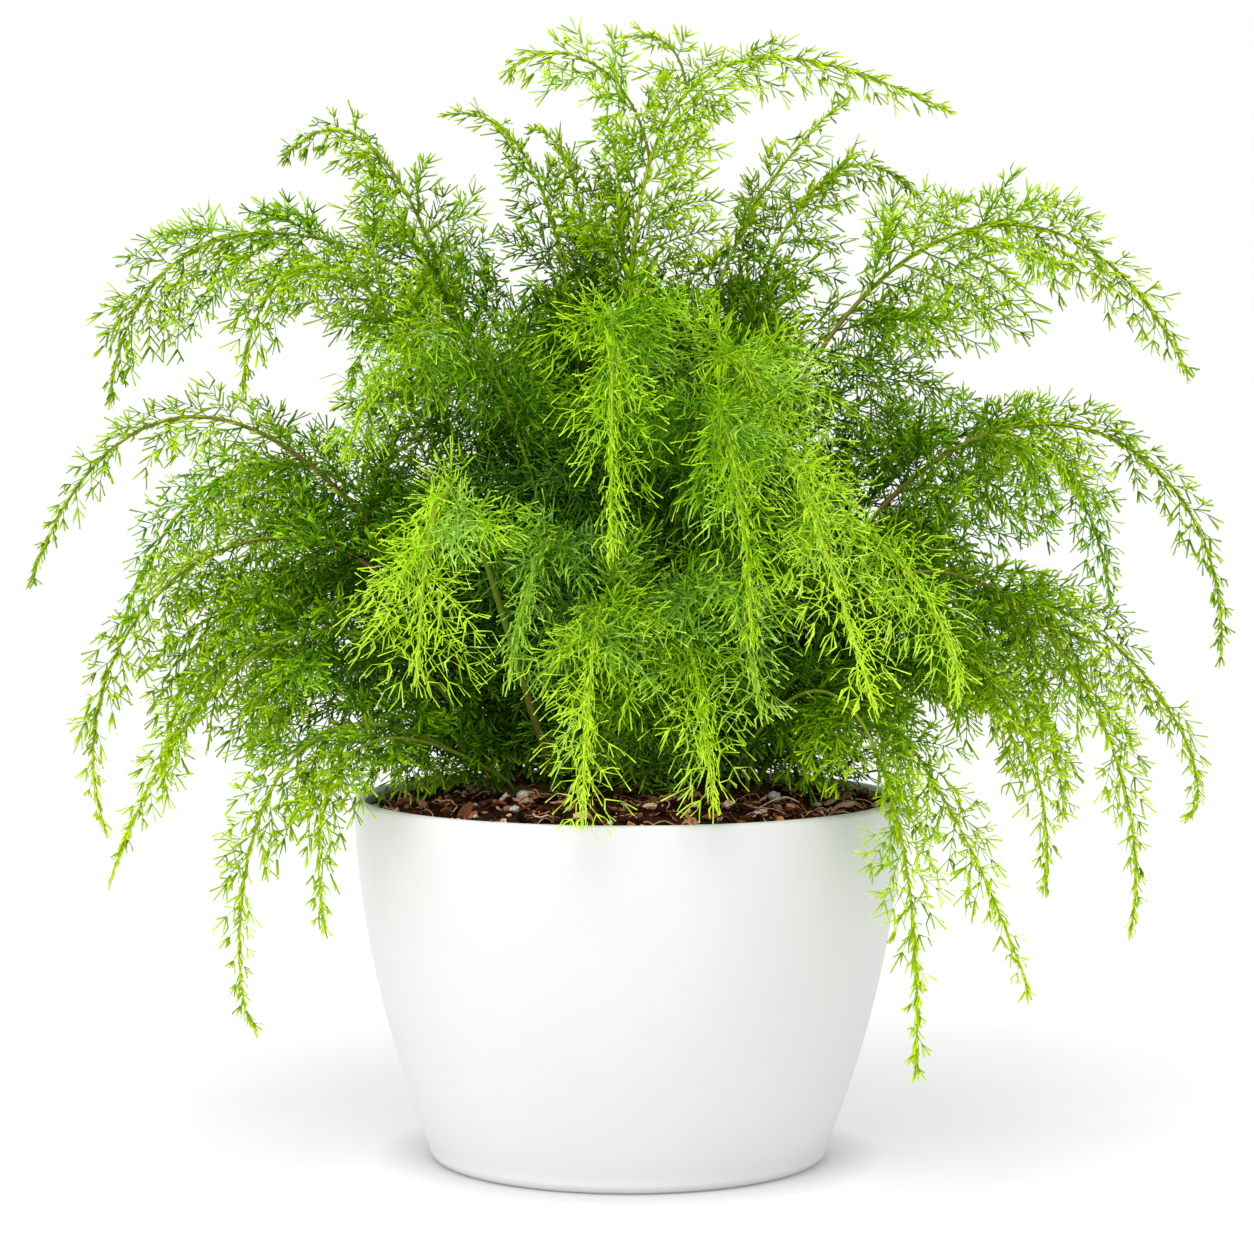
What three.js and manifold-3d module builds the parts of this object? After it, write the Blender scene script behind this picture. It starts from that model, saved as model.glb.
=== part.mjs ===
// Potted asparagus fern in a white planter, in millimetres with +Z up.
// The origin is the middle of the planter's flat foot, and the plant's front faces -Y.
import * as THREE from 'three';
import { mergeVertices } from 'three/addons/utils/BufferGeometryUtils.js';
import Module from 'manifold-3d';

const wasm = await Module();
wasm.setup();

// Planter
const POT_HEIGHT = 106;
const RIM_RADIUS = 80;
const FLARE = 23;
const FLARE_POWER = 1.85;
const FOOT_RADIUS = 55;
const FOOT_ROUNDING = 3.5;
const WALL = 3.2;
const FLOOR = 4;
const WALL_ROWS = 7;
const POT_SEGMENTS = 44;

// Potting mix and the root crown set in it
const GAP = 0.3;
const MIX_EDGE_HEIGHT = 102;
const MIX_MOUND = 6;
const CROWN_TOP = 109;
const CROWN_DEPTH = 14;
const CROWN_HALF_WIDTH = 45;
const CROWN_HALF_DEPTH = 26;
const CROWN_MIDDLE_Y = 2;

// Fronds
const STEM_SIDES = 4;
const STEM_STEP = 27;
const STEM_TAPER = 0.28;
const SHOOT_SIDES = 3;
const SHOOT_STEPS = 2;
const SHOOT_RADIUS = 0.45;
const SHOOT_TIP_RADIUS = 0.25;
const SHOOT_LENGTH = 38;
const SHORTEST_SHOOT = 9;
const BARE_STEM = 0.3;
const FORK_BARE = 0.1;
const CLEARANCE = 0.5;

// One line for each frond that rises from the crown. Its foot is x and y on the crown, and it leans
// in the vertical plane of its azimuth: 0 to the right, 90 to the back, 180 to the left and 270 to
// the front. rise, arch and tip are the reach from the foot and the height of its arch's handles.
// A fork starts at a share of the way along the stem.
const FRONDS = [
  { name: 'frond_left_1', foot: [-22, 8], azimuth: 140, rise: [33, 268], arch: [70, 328], tip: [112, 296], thick: 1.2,
    forks: [{ at: 0.6, azimuth: 186, rise: [25, 272], arch: [92, 292], tip: [101, 222] }] },
  { name: 'frond_left_2', foot: [-24, -2], azimuth: 194, rise: [33, 293], arch: [86, 276], tip: [88, 225], thick: 1.0 },
  { name: 'frond_left_3', foot: [-31, 2], azimuth: 177, rise: [58, 239], arch: [119, 241], tip: [145, 168], thick: 1.2 },
  { name: 'frond_left_4', foot: [-35, -1], azimuth: 186, rise: [42, 240], arch: [139, 166], tip: [117, 98], thick: 1.1 },
  { name: 'frond_left_5', foot: [-37, -5], azimuth: 200, rise: [45, 199], arch: [98, 140], tip: [115, 87], thick: 1.0 },
  { name: 'frond_left_6', foot: [-36, -9], azimuth: 212, rise: [100, 183], arch: [89, 30], tip: [79, 49], thick: 1.0 },
  { name: 'frond_left_7', foot: [-32, -13], azimuth: 222, rise: [76, 154], arch: [75, 101], tip: [70, 75], thick: 0.8 },
  { name: 'frond_right_1', foot: [24, 6], azimuth: 18, rise: [-2, 250], arch: [101, 328], tip: [154, 230], thick: 1.2 },
  { name: 'frond_right_2', foot: [31, 1], azimuth: 2, rise: [51, 265], arch: [147, 221], tip: [143, 147], thick: 1.2 },
  { name: 'frond_right_3', foot: [34, -3], azimuth: 350, rise: [43, 238], arch: [124, 139], tip: [112, 70], thick: 1.1 },
  { name: 'frond_right_4', foot: [37, 4], azimuth: 12, rise: [80, 234], arch: [156, 104], tip: [134, 96], thick: 1.0 },
  { name: 'frond_right_5', foot: [37, -8], azimuth: 336, rise: [45, 190], arch: [92, 146], tip: [88, 84], thick: 1.0 },
  { name: 'frond_right_6', foot: [34, -13], azimuth: 323, rise: [19, 192], arch: [75, 109], tip: [95, 59], thick: 1.1 },
  { name: 'frond_right_7', foot: [28, -15], azimuth: 311, rise: [51, 184], arch: [82, 107], tip: [77, 37], thick: 1.1 },
  { name: 'frond_top_1', foot: [4, 4], azimuth: 20, rise: [-2, 252], arch: [-30, 361], tip: [97, 308], thick: 1.3,
    forks: [
      { at: 0.62, azimuth: 180, rise: [4, 318], arch: [26, 330], tip: [42, 316] },
      { at: 0.7, azimuth: 180, rise: [1, 321], arch: [5, 329], tip: [17, 327] },
    ] },
  { name: 'frond_top_2', foot: [13, 7], azimuth: 50, rise: [-2, 169], arch: [-14, 259], tip: [84, 314], thick: 1.2 },
  { name: 'frond_top_3', foot: [-9, 5], azimuth: 165, rise: [2, 230], arch: [8, 310], tip: [45, 305], thick: 1.0 },
  { name: 'frond_top_4', foot: [-5, 10], azimuth: 125, rise: [0, 230], arch: [8, 300], tip: [42, 303], thick: 1.0 },
  { name: 'frond_top_5', foot: [2, 12], azimuth: 105, rise: [2, 225], arch: [10, 300], tip: [38, 306], thick: 1.0 },
  { name: 'frond_front_1', foot: [20, -8], azimuth: 298, rise: [-2, 218], arch: [-7, 312], tip: [97, 140], thick: 1.2 },
  { name: 'frond_front_2', foot: [25, -8], azimuth: 316, rise: [8, 248], arch: [94, 168], tip: [90, 142], thick: 1.0 },
  { name: 'frond_front_3', foot: [-20, -7], azimuth: 240, rise: [30, 145], arch: [66, 262], tip: [75, 145], thick: 1.3 },
  { name: 'frond_front_4', foot: [-14, -4], azimuth: 225, rise: [10, 210], arch: [50, 290], tip: [89, 208], thick: 1.0 },
  { name: 'frond_front_5', foot: [-5, -14], azimuth: 243, rise: [4, 185], arch: [38, 215], tip: [60, 146], thick: 0.8 },
  { name: 'frond_front_6', foot: [9, -8], azimuth: 283, rise: [8, 215], arch: [75, 270], tip: [105, 159], thick: 1.0 },
  { name: 'frond_front_7', foot: [-3, -6], azimuth: 269, rise: [5, 240], arch: [60, 300], tip: [95, 182], thick: 1.1 },
  { name: 'frond_front_8', foot: [-1, -17], azimuth: 261, rise: [2, 190], arch: [62, 185], tip: [74, 101], thick: 0.9 },
  { name: 'frond_front_9', foot: [4, -18], azimuth: 286, rise: [3, 170], arch: [54, 180], tip: [70, 107], thick: 0.8 },
  { name: 'frond_front_10', foot: [9, -15], azimuth: 293, rise: [4, 178], arch: [45, 195], tip: [69, 137], thick: 0.8 },
  { name: 'frond_middle_1', foot: [-15, 1], azimuth: 205, rise: [2, 190], arch: [15, 255], tip: [62, 222], thick: 0.9 },
  { name: 'frond_middle_2', foot: [14, -1], azimuth: 332, rise: [2, 190], arch: [20, 250], tip: [60, 215], thick: 0.9 },
  { name: 'frond_back_1', foot: [18, 12], azimuth: 42, rise: [0, 240], arch: [50, 320], tip: [95, 285], thick: 1.1 },
  { name: 'frond_back_2', foot: [31, 9], azimuth: 28, rise: [40, 230], arch: [120, 240], tip: [135, 160], thick: 1.1 },
  { name: 'frond_back_3', foot: [27, 14], azimuth: 52, rise: [30, 200], arch: [100, 215], tip: [125, 120], thick: 1.0 },
  { name: 'frond_back_4', foot: [13, 17], azimuth: 68, rise: [10, 250], arch: [70, 290], tip: [115, 215], thick: 1.1 },
  { name: 'frond_back_5', foot: [9, 21], azimuth: 82, rise: [30, 180], arch: [85, 200], tip: [120, 105], thick: 1.0 },
  { name: 'frond_back_6', foot: [0, 19], azimuth: 98, rise: [8, 240], arch: [60, 290], tip: [118, 200], thick: 1.1 },
  { name: 'frond_back_7', foot: [-8, 20], azimuth: 112, rise: [25, 200], arch: [90, 220], tip: [125, 120], thick: 1.0 },
  { name: 'frond_back_8', foot: [-15, 16], azimuth: 127, rise: [8, 250], arch: [75, 300], tip: [125, 225], thick: 1.1 },
  { name: 'frond_back_9', foot: [-24, 15], azimuth: 140, rise: [30, 190], arch: [95, 210], tip: [125, 110], thick: 1.0 },
  { name: 'frond_back_10', foot: [-31, 9], azimuth: 156, rise: [35, 220], arch: [110, 230], tip: [138, 150], thick: 1.1 },
  { name: 'frond_back_11', foot: [-37, 6], azimuth: 168, rise: [60, 170], arch: [95, 190], tip: [105, 105], thick: 1.0 },
  { name: 'frond_back_12', foot: [38, 9], azimuth: 24, rise: [50, 170], arch: [92, 185], tip: [105, 95], thick: 1.0 },
];

// Grains of perlite that lie on the mix: x, y and half length
const PERLITE = [
  [-30, -24, 2.3],
  [-32, -42, 1.6],
  [-44, 20, 1.8],
  [-50, -1, 1.3],
  [12, -28, 1.5],
  [-1, -43, 1.3],
  [42, -22, 2.6],
  [48, 17, 1.7],
  [36, -47, 1.4],
  [54, -24, 1.4],
  [-62, -14, 1.2],
];

// Finishes
const POT_FINISH = { color: 0xf2f2f2, roughness: 0.38, metalness: 0 };
const MIX_FINISH = { color: 0x3a2016, roughness: 0.95, metalness: 0 };
const CROWN_FINISH = { color: 0x5b4a26, roughness: 0.85, metalness: 0 };
const FROND_FINISH = { color: 0x6fa52a, roughness: 0.55, metalness: 0 };
const PERLITE_FINISH = { color: 0xd9d4cc, roughness: 0.9, metalness: 0 };

const UP = new THREE.Vector3(0, 0, 1);
const plant = new THREE.Group();

function addPiece(name, geometry, finish) {
  const mesh = new THREE.Mesh(geometry, new THREE.MeshStandardMaterial(finish));
  mesh.name = name;
  plant.add(mesh);
  return mesh;
}

// A profile of [radius, height] points turned about the Z axis
function turned(profile, segments) {
  const points = profile.map(([radius, height]) => new THREE.Vector2(radius, height));
  return new THREE.LatheGeometry(points, segments).rotateX(Math.PI / 2);
}

// Closed solids for joining and cutting, and back again
function toSolid(geometry) {
  geometry.deleteAttribute('normal');
  geometry.deleteAttribute('uv');
  const merged = mergeVertices(geometry);
  const corners = merged.index.array;
  const triangles = [];
  for (let i = 0; i < corners.length; i += 3) {
    const [a, b, c] = corners.slice(i, i + 3);
    if (a !== b && b !== c && c !== a) triangles.push(a, b, c);
  }
  return new wasm.Manifold(new wasm.Mesh({
    numProp: 3,
    vertProperties: new Float32Array(merged.attributes.position.array),
    triVerts: new Uint32Array(triangles),
  }));
}

function toGeometry(solid) {
  const mesh = solid.getMesh();
  const geometry = new THREE.BufferGeometry();
  geometry.setAttribute('position', new THREE.BufferAttribute(mesh.vertProperties, 3));
  geometry.setIndex(new THREE.BufferAttribute(mesh.triVerts, 1));
  geometry.computeVertexNormals();
  return geometry;
}

// Planter: an open shell that flares upward and ends in a round lip
function potRadius(z) {
  return RIM_RADIUS - FLARE * (1 - z / POT_HEIGHT) ** FLARE_POWER;
}

function arcPoints(middleRadius, middleHeight, radius, from, to, count) {
  const points = [];
  for (let i = 0; i <= count; i += 1) {
    const angle = THREE.MathUtils.degToRad(from + (to - from) * i / count);
    points.push([middleRadius + radius * Math.cos(angle), middleHeight + radius * Math.sin(angle)]);
  }
  return points;
}

function wallRows(low, high, inset) {
  const points = [];
  for (let i = 0; i <= WALL_ROWS; i += 1) {
    const z = low + (high - low) * i / WALL_ROWS;
    points.push([potRadius(z) - inset, z]);
  }
  return points;
}

function potShell() {
  const lip = WALL / 2;
  const lipHeight = POT_HEIGHT - lip;
  return turned([
    [0, 0],
    ...arcPoints(FOOT_RADIUS, FOOT_ROUNDING, FOOT_ROUNDING, -90, -20, 2),
    ...wallRows(FOOT_ROUNDING, lipHeight, 0),
    ...arcPoints(potRadius(lipHeight) - lip, lipHeight, lip, 30, 150, 4),
    ...wallRows(FLOOR, lipHeight, WALL).reverse(),
    [0, FLOOR],
  ], POT_SEGMENTS);
}

// Potting mix: it fills the planter, mounds a little and holds the crown in a hollow of its own
function mixHeight(distance) {
  return MIX_EDGE_HEIGHT + MIX_MOUND * (1 - (distance / RIM_RADIUS) ** 2);
}

function crownBody(margin) {
  const low = CROWN_TOP - CROWN_DEPTH - margin;
  const body = turned([
    [0, low],
    [0.62, low],
    [0.95, low + 5],
    [1, CROWN_TOP - 4],
    [0.98, CROWN_TOP + margin],
    [0, CROWN_TOP + margin],
  ], 28);
  body.scale(CROWN_HALF_WIDTH + margin, CROWN_HALF_DEPTH + margin, 1);
  return body.translate(0, CROWN_MIDDLE_Y, 0);
}

function pottingMix() {
  const inset = WALL + GAP;
  const sides = wallRows(FLOOR + GAP, MIX_EDGE_HEIGHT, inset);
  const edge = sides[sides.length - 1][0];
  const surface = [0.85, 0.6].map((share) => [edge * share, mixHeight(edge * share)]);
  const filling = turned([[0, FLOOR + GAP], ...sides, ...surface, [0, mixHeight(0)]], POT_SEGMENTS);
  return toGeometry(toSolid(filling).subtract(toSolid(crownBody(GAP))));
}

// A round stem along a curve, drawn in towards its tip
function taperedStem(curve, footRadius, tipRadius, sides, steps) {
  const corners = [];
  for (let i = 0; i < sides; i += 1) {
    const angle = 2 * Math.PI * i / sides;
    corners.push(new THREE.Vector2(footRadius * Math.cos(angle), footRadius * Math.sin(angle)));
  }
  const section = new THREE.Shape(corners);
  const stem = new THREE.ExtrudeGeometry(section, { steps, extrudePath: curve, bevelEnabled: false });
  const rings = curve.getSpacedPoints(steps);
  const place = new THREE.Vector3();
  const position = stem.attributes.position;
  for (let i = 0; i < position.count; i += 1) {
    place.fromBufferAttribute(position, i);
    let nearest = 0;
    rings.forEach((ring, k) => {
      if (ring.distanceTo(place) < rings[nearest].distanceTo(place)) nearest = k;
    });
    const radius = THREE.MathUtils.lerp(footRadius, tipRadius, nearest / steps);
    place.sub(rings[nearest]).multiplyScalar(radius / footRadius).add(rings[nearest]);
    position.setXYZ(i, place.x, place.y, place.z);
  }
  return toSolid(stem);
}

// The arching line of a stem or a fork, from its foot
function stemCurve(start, { azimuth, rise, arch, tip }) {
  const angle = THREE.MathUtils.degToRad(azimuth);
  const handles = [rise, arch, tip].map(([reach, height]) => new THREE.Vector3(
    start.x + reach * Math.cos(angle),
    start.y + reach * Math.sin(angle),
    height,
  ));
  return new THREE.CubicBezierCurve3(start, ...handles);
}

// Every stem's stretches are kept here, so that no two fronds touch
const stretches = [];

function keepStretches(owner, curve, footRadius, tipRadius, steps) {
  const points = curve.getSpacedPoints(steps);
  for (let i = 0; i < steps; i += 1) {
    const radius = THREE.MathUtils.lerp(footRadius, tipRadius, i / steps);
    stretches.push({ owner, radius, line: new THREE.Line3(points[i], points[i + 1]) });
  }
}

function meetsPlanter(point, margin) {
  const distance = Math.hypot(point.x, point.y);
  const height = Math.max(point.z, 0);
  if (height > POT_HEIGHT + margin) return false;
  const inside = distance < potRadius(height) - WALL - margin;
  if (inside) return point.z < mixHeight(distance) + margin;
  return distance < potRadius(Math.min(height, POT_HEIGHT)) + margin;
}

const grains = PERLITE.map(([x, y, size]) => {
  return new THREE.Sphere(new THREE.Vector3(x, y, mixHeight(Math.hypot(x, y)) + size), size);
});

// The share of a shoot that is free of everything but its own frond
function freeShare(owner, curve) {
  const samples = 30;
  const nearest = new THREE.Vector3();
  for (let i = 2; i <= samples; i += 1) {
    const point = curve.getPoint(i / samples);
    const margin = SHOOT_RADIUS + CLEARANCE;
    const met = stretches.some((stretch) => {
      if (stretch.owner === owner) return false;
      stretch.line.closestPointToPoint(point, true, nearest);
      return nearest.distanceTo(point) < margin + stretch.radius;
    });
    const blocked = met
      || meetsPlanter(point, margin)
      || grains.some((grain) => grain.distanceToPoint(point) < margin);
    if (blocked) return (i - 2) / samples;
  }
  return 1;
}

// Side shoots leave a stem left and right in turn, sweep forward and droop
function shootCurve(stem, share, side, length) {
  const start = stem.getPointAt(share);
  const along = stem.getTangentAt(share);
  const chord = stem.getPoint(1).sub(stem.getPoint(0)).setZ(0).normalize();
  const across = new THREE.Vector3().crossVectors(chord, UP).multiplyScalar(side);
  const end = start.clone()
    .addScaledVector(across, 0.74 * length)
    .addScaledVector(along, 0.6 * length)
    .addScaledVector(UP, -0.16 * length);
  const bend = start.clone()
    .addScaledVector(across, 0.4 * length)
    .addScaledVector(along, 0.26 * length)
    .addScaledVector(UP, 0.05 * length);
  return new THREE.QuadraticBezierCurve3(start, bend, end);
}

function shortened(curve, share) {
  const end = curve.getPoint(share);
  const bend = curve.v0.clone().lerp(curve.v1, share);
  return new THREE.QuadraticBezierCurve3(curve.v0, bend, end);
}

// One shoot leaves each ring of the stem above its bare foot
function sideShoots(owner, stem, bareShare, steps) {
  const shoots = [];
  for (let ring = Math.ceil(bareShare * steps); ring < steps; ring += 1) {
    const share = ring / steps;
    const towardsTip = (share - bareShare) / (1 - bareShare);
    const side = ring % 2 === 0 ? 1 : -1;
    const full = shootCurve(stem, share, side, SHOOT_LENGTH * (1 - 0.6 * towardsTip));
    const free = freeShare(owner, full);
    if (free * full.getLength() < SHORTEST_SHOOT) continue;
    const shoot = shortened(full, free);
    keepStretches(owner, shoot, SHOOT_RADIUS, SHOOT_TIP_RADIUS, SHOOT_STEPS);
    shoots.push(taperedStem(shoot, SHOOT_RADIUS, SHOOT_TIP_RADIUS, SHOOT_SIDES, SHOOT_STEPS));
  }
  return shoots;
}

// A frond's own stem and its forks, each with the radius it starts and ends with
function frondStems(frond) {
  const [x, y] = frond.foot;
  const lean = Math.atan2(frond.rise[0], frond.rise[1] - CROWN_TOP);
  const start = new THREE.Vector3(x, y, CROWN_TOP + GAP + frond.thick * Math.abs(Math.sin(lean)));
  const main = stemCurve(start, frond);
  const radiusAt = (share) => frond.thick * THREE.MathUtils.lerp(1, STEM_TAPER, share);
  const stepsOf = (curve) => Math.max(3, Math.round(curve.getLength() / STEM_STEP));
  const steps = stepsOf(main);
  const stems = [{ curve: main, foot: frond.thick, tip: radiusAt(1), bare: BARE_STEM, steps }];
  for (const fork of frond.forks ?? []) {
    const share = Math.round(fork.at * steps) / steps;
    const curve = stemCurve(main.getPointAt(share), fork);
    const foot = radiusAt(share) * 0.9;
    stems.push({ curve, foot, tip: radiusAt(1), bare: FORK_BARE, steps: stepsOf(curve) });
  }
  return stems;
}

const stemsOf = new Map(FRONDS.map((frond) => [frond.name, frondStems(frond)]));
for (const [owner, stems] of stemsOf) {
  for (const { curve, foot, tip, steps } of stems) keepStretches(owner, curve, foot, tip, steps);
}

function frondBody(owner) {
  const solids = [];
  for (const { curve, foot, tip, bare, steps } of stemsOf.get(owner)) {
    solids.push(taperedStem(curve, foot, tip, STEM_SIDES, steps));
    solids.push(...sideShoots(owner, curve, bare, steps));
  }
  return toGeometry(solids.reduce((whole, solid) => whole.add(solid)));
}

addPiece('pot', potShell(), POT_FINISH);
addPiece('potting_mix', pottingMix(), MIX_FINISH);
addPiece('root_crown', crownBody(0), CROWN_FINISH);
for (const { name } of FRONDS) {
  addPiece(name, frondBody(name), FROND_FINISH);
}

// Perlite grains are flattish lumps that lie just on the mix
PERLITE.forEach(([x, y, size], i) => {
  const lump = new THREE.IcosahedronGeometry(size).scale(1, 0.8, 0.62);
  lump.computeBoundingBox();
  const grain = addPiece(`perlite_${i + 1}`, lump, PERLITE_FINISH);
  grain.position.set(x, y, mixHeight(Math.hypot(x, y)) + GAP - lump.boundingBox.min.z);
  grain.rotation.z = i;
});

export default plant;
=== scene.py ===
"""Looks for the potted asparagus fern: planter, potting mix, crown, stems and needles."""

import math

import bmesh
import bpy
import numpy as np
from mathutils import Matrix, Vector, noise


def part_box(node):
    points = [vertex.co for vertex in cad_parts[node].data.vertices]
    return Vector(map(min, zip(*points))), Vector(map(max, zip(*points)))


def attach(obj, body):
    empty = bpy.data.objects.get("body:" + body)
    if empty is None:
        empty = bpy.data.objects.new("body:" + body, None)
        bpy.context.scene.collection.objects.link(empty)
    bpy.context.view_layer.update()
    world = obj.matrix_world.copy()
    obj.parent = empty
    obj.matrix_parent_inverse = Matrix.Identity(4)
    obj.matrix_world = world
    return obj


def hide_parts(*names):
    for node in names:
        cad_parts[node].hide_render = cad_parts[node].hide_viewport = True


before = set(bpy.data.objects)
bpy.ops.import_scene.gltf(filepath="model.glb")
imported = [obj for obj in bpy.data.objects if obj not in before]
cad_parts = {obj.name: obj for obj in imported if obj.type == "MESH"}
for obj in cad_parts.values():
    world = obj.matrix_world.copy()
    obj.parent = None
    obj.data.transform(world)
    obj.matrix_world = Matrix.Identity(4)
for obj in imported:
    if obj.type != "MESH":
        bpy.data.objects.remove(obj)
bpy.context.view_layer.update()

# Everything is worked out in millimetres and written to the meshes in metres
MM = 0.001
UP = np.array([0.0, 0.0, 1.0])
TURN = 2 * math.pi

# Camera and studio
CAMERA_PLACE = (-0.4, -1060.0, 220.0)
CAMERA_PITCH = 3.5
LENS = 104.5
SENSOR = 36.0
CAMERA_FAR_METRES = 50.0
FLOOR_HALF = 6000.0

# Planter
POT_HIGH = np.array(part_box("pot")[1]) / MM
POT_HEIGHT = POT_HIGH[2]
RIM_RADIUS = POT_HIGH[0]
FLARE = 23.0
FLARE_POWER = 1.85
FOOT_RADIUS = 55.0
FOOT_ROUNDING = 3.5
WALL = 3.2
FLOOR = 4.0
POT_SEGMENTS = 160

# Potting mix and crown
MIX_EDGE_HEIGHT = 102.0
MIX_MOUND = 6.0
MIX_FIT = 0.3
MIX_LOW_RINGS = (60.0, 4.3)
MIX_RINGS, MIX_SEGMENTS = 72, 180
CROWN_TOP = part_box("root_crown")[1][2] / MM
CROWN_DEPTH = 12.0
CROWN_HALF = (45.0, 26.0)
CROWN_MIDDLE = (0.0, 2.0)
CROWN_RINGS, CROWN_SEGMENTS = 16, 96

# Foliage
CLEARANCE = 0.6
STEM_SIDES = 8
STEM_FOOT_DEPTH = 2.5
TWIG_SIDES = 3
TWIG_POINTS = 5
TWIG_RADII = (0.36, 0.2)
TWIG_WIDTH = 0.7
LEAST_TWIG = 1.5
FIRST_BRANCHLET = 2.6
BRANCHLET_GAP = 3.1
OWN_NEEDLE_GAP = 1.7
TIP_NEEDLES = 4

# A direction that hardly any twig follows, to turn the blades by
SLANT = (0.31, 0.22, 0.92)

# Corners of a straight blade's four faces and of a bowed blade's eight
BLADE = np.array([[0, 1, 2], [1, 0, 3], [2, 3, 0], [3, 2, 1]])
BOWED_BLADE = np.array([[0, 1, 2], [1, 0, 3], [0, 2, 3], [1, 3, 2],
                        [4, 5, 3], [5, 4, 2], [4, 3, 2], [5, 2, 3]])

# Each point of the foliage holds a tone, from dark to light, and a cast: olive, green and
# blue-green for leaves, and then the colours of stems
TONES = (0.02, 0.98)
LEAF_CASTS = (0.01, 0.48)
TIP_CAST, STEM_CAST = 0.64, 0.9

CHIP_SEED, FIBRE_SEED, PERLITE_SEED, FROND_SEED = 11, 12, 13, 100

# How a frond looks where its own line says nothing else
LOOK = {
    # colour of the leaves, and how far it changes towards the tip
    "tone": 0.5, "cast": 0.07, "ripe": 0.1, "mixed": 0.4, "lift": 0.08,
    # stem: how woody, share without shoots, thickness, width at the tip, share that is built
    "wood": 0.08, "bare": 0.03, "slim": 0.76, "tip_width": 0.26, "end": 1.0,
    # side shoots: spacing, longest, how they shorten, angle, flatness, least height over the mix
    "gap": 4.4, "reach": 36.0, "taper": (0.58, 1.2), "blunt": 0.0, "sweep": 34, "flat": 0.6,
    "up": 0.35, "low": 9.0,
    # branchlets only on longer shoots than this, young shoots at the foot, placed single shoots
    "fine": 2.5, "skirt": 0, "sprigs": (),
    # needles: spacing, number in a whorl, length, width, angles, share that is bowed
    "node": 2.2, "whorl": 2, "needle": 4.9, "width": 0.86, "needle_sweep": (27, 54),
    "bent": 0.12,
}

# The fronds that arch towards the viewer show longer, finer and brighter needles
NEAR_LOOK = {
    "cast": 0.14, "ripe": 0.03, "mixed": 1.0, "lift": 0.18, "tip_width": 0.35,
    "gap": 3.5, "reach": 27.0, "blunt": 12.0, "sweep": 50, "flat": 0.26, "low": CLEARANCE,
    "fine": 15.0, "node": 2.7, "whorl": 4, "needle": 7.2, "width": 0.6,
    "needle_sweep": (42, 72), "bent": 0.8,
}

# The fronds at the sides keep long shoots for most of their length
SIDE_TAPER = (0.68, 1.65)


def frond(name, foot, azimuth, rise, arch, tip, thick, forks=(), **look):
    """One frond. rise, arch and tip are its curve's handles: reach from the foot, and height."""
    values = dict(LOOK)
    if name.startswith(("frond_left", "frond_right")) and name[-1] != "1":
        values["taper"] = SIDE_TAPER
    if name.startswith("frond_front"):
        values.update(NEAR_LOOK)
    values.update(look)
    values.update(name=name, foot=foot, azimuth=azimuth, rise=rise, arch=arch, tip=tip,
                  thick=thick, forks=forks)
    return values


def fork(at, azimuth, rise, arch, tip):
    """A second stem that leaves a frond's own at a share of its length."""
    return {"at": at, "azimuth": azimuth, "rise": rise, "arch": arch, "tip": tip}


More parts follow.
